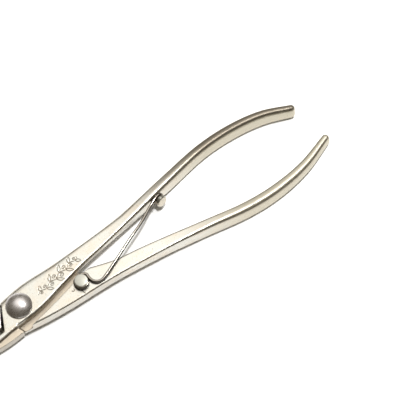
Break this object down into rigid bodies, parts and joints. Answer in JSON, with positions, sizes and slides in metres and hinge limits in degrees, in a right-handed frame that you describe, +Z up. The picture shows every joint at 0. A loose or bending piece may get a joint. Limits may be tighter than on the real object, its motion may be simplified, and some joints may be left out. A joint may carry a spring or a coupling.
{
  "type": "crucible tongs",
  "caption": "Sprung steel crucible tongs: forged halves crossing in a riveted lap joint, curved strap handles held open by a wire spring, and bowed jaws with grooved tips.",
  "frame": {"origin": "on the rivet's axis, at the flat face of the rivet's tail, on the surface that the tongs lie on", "axes": "+X along the tongs towards the handles, +Z up through the rivet's domed head, +Y towards the handle of the upper half"},
  "size_m": [0.2305, 0.0408, 0.0116],
  "materials": {
    "nickel_plate": "warm satin nickel plate over forged steel, with fine draw-filing marks, pits and worn edges",
    "rivet_steel": "polished grey steel with light scratches",
    "spring_steel": "bright drawn spring wire"
  },
  "bodies": {
    "lower": {"lower_half": "nickel_plate", "pivot_rivet": "rivet_steel", "spring_stud": "nickel_plate", "spring_wire": "spring_steel"},
    "upper": {"upper_half": "nickel_plate", "spring_peg": "nickel_plate"}
  },
  "joints": [
    {"name": "handles_close", "type": "hinge", "parent": "lower", "child": "upper", "pos_m": [0, 0, 0.0052], "axis": [0, 0, -1], "range_deg": [0, 4.5], "stiffness_Nm_per_rad": 1.7, "springref_deg": -6.88, "deforming": ["spring_wire"]}
  ]
}
